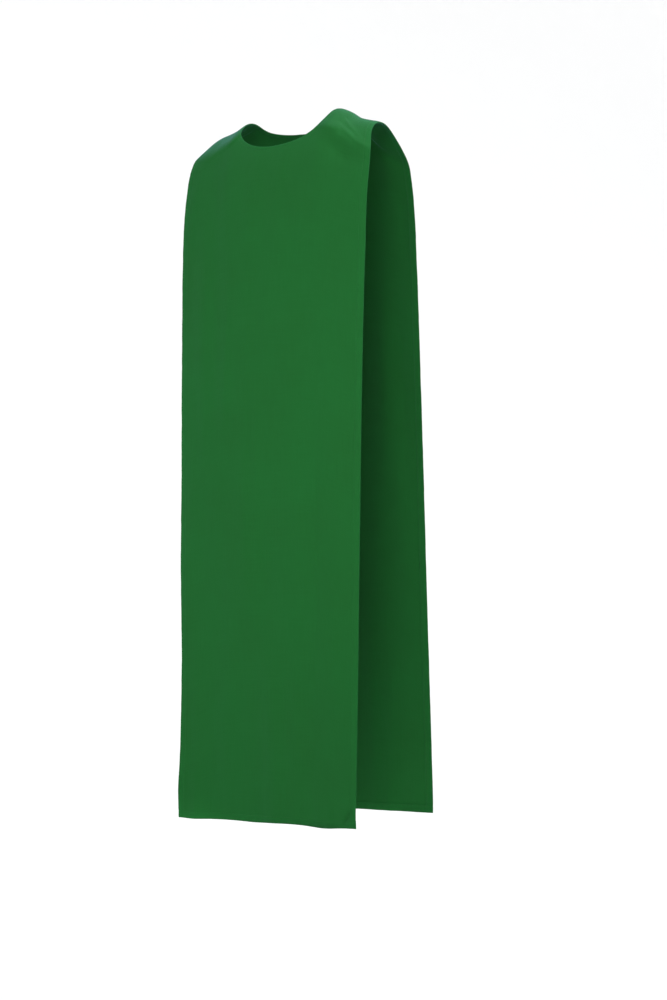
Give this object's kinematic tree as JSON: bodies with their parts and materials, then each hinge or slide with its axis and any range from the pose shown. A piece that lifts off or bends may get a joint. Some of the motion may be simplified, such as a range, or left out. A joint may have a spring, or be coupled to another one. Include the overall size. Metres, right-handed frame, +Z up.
{
  "type": "devotional scapular",
  "caption": "Sleeveless green vestment of a front and a back cloth panel joined at the shoulders, round neck, open sides, in its hollow worn form.",
  "frame": {"origin": "middle of the shoulder line at neck height, where the wearer's shoulders carry the cloth", "axes": "+Z up, -Y the way the wearer faces, +X the wearer's left"},
  "size_m": [0.358, 0.2672, 1.1739],
  "materials": {
    "green_cloth": "matt plain-woven polyester, dyed deep green"
  },
  "bodies": {
    "root": {"front_panel": "green_cloth", "back_panel": "green_cloth"}
  },
  "joints": []
}
